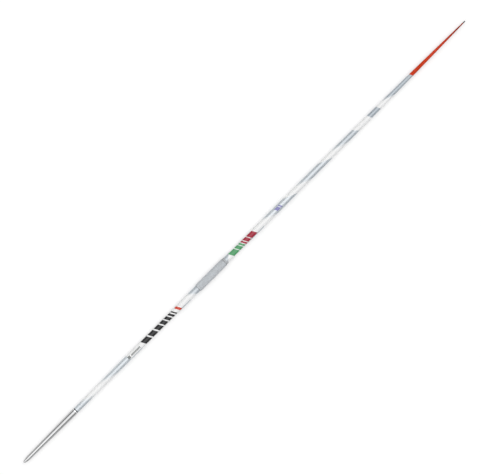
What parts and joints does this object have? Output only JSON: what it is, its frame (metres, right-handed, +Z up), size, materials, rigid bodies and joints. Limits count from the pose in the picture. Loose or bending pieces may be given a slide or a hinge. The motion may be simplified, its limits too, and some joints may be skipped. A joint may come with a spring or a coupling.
{
  "type": "javelin",
  "caption": "Throwing javelin for athletics: steel head, tapered carbon fibre shaft painted white and silver, wound cord grip and red tail.",
  "frame": {"origin": "on the ground, under the middle of the javelin's length and straight below its axis, as it lies on the underside of its grip", "axes": "+X along the javelin from the nose to the tail, +Z up"},
  "size_m": [2.25, 0.0304, 0.0302],
  "materials": {
    "painted_carbon": "carbon fibre tube in gloss white paint with silver bands",
    "red_carbon": "carbon fibre in gloss orange-red paint",
    "bright_steel": "polished steel",
    "brass": "turned brass",
    "bare_carbon": "bare carbon fibre",
    "dark_cap": "dark moulded plastic",
    "nylon": "turned nylon",
    "foam_rubber": "foam rubber",
    "grey_tape": "cloth tape",
    "grey_cord": "wound polyester cord"
  },
  "bodies": {
    "root": {"head_point": "bright_steel", "head_shell": "bright_steel", "head_balance_slug": "brass", "shaft_nose_plug": "nylon", "front_shaft": "painted_carbon", "front_damper": "foam_rubber", "centre_sleeve": "bare_carbon", "rear_shaft": "painted_carbon", "rear_damper": "foam_rubber", "tail_spigot": "bare_carbon", "tail_cone": "red_carbon", "tail_cap": "dark_cap", "grip_underlay": "grey_tape", "grip_cord": "grey_cord", "grip_rear_band": "grey_tape"}
  },
  "joints": []
}
